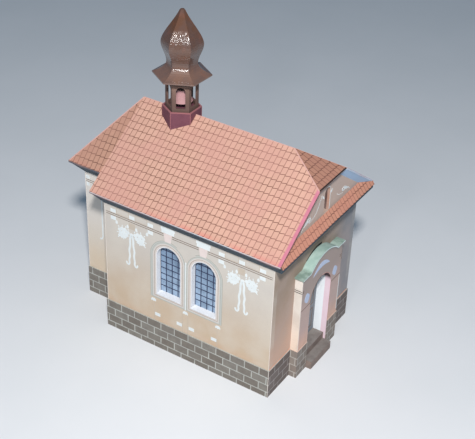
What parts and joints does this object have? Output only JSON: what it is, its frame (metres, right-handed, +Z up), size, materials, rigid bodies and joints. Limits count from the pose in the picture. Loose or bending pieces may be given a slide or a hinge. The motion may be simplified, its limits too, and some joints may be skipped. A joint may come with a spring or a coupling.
{
  "type": "card model of a small baroque chapel",
  "caption": "Printed card model of a small baroque chapel, about 1:87: hollow nave and chancel, half-hipped roof, portal with steps, and a bell turret with an onion dome.",
  "frame": {"origin": "on the ground, under the middle of the model's box", "axes": "+Z up; +Y from the portal towards the chancel; +X to the right of someone who faces the portal"},
  "size_m": [0.0832, 0.1264, 0.1552],
  "materials": {
    "wall_print": "matte printed card",
    "front_print": "matte printed card",
    "plinth_print": "matte printed card",
    "roof_print": "matte printed card",
    "hip_print": "matte printed card",
    "cove_print": "matte printed card",
    "portal_print": "matte printed card",
    "copper_print": "matte printed card",
    "door_print": "matte printed card",
    "step_print": "matte printed card",
    "window_print": "satin printed card",
    "white_card": "matte card",
    "turret_print": "matte printed card",
    "lantern_print": "matte printed card",
    "bell_print": "satin painted card",
    "dome_print": "glossy varnished card"
  },
  "bodies": {
    "root": {"nave_left_wall": "wall_print", "nave_right_wall": "wall_print", "front_wall_left": "front_print", "front_wall_right": "front_print", "front_wall_upper": "front_print", "nave_rear_wall": "wall_print", "gable_front": "front_print", "chancel_left_wall": "wall_print", "chancel_right_wall": "wall_print", "chancel_rear_wall": "wall_print", "plinth_left": "plinth_print", "plinth_right": "plinth_print", "plinth_front": "plinth_print", "plinth_rear": "plinth_print", "chancel_plinth": "plinth_print", "nave_roof_left": "roof_print", "nave_roof_right": "roof_print", "half_hip_roof": "hip_print", "pent_roof": "hip_print", "chancel_roof_left": "roof_print", "chancel_roof_right": "roof_print", "chancel_roof_rear": "roof_print", "eaves_cove_left": "cove_print", "eaves_cove_right": "cove_print", "pent_cove": "cove_print", "half_hip_cove": "cove_print", "front_verge_cove": "cove_print", "rear_verge_cove": "cove_print", "chancel_cove": "cove_print", "portal_left_pier": "portal_print", "portal_right_pier": "portal_print", "portal_head": "portal_print", "portal_capping": "copper_print", "door": "door_print", "lower_step": "step_print", "upper_step": "step_print", "left_window_sheets": "window_print", "right_window_sheets": "window_print", "left_window_linings": "white_card", "right_window_linings": "white_card", "turret_base": "turret_print", "lantern": "lantern_print", "bell": "bell_print", "onion_dome": "dome_print"}
  },
  "joints": []
}
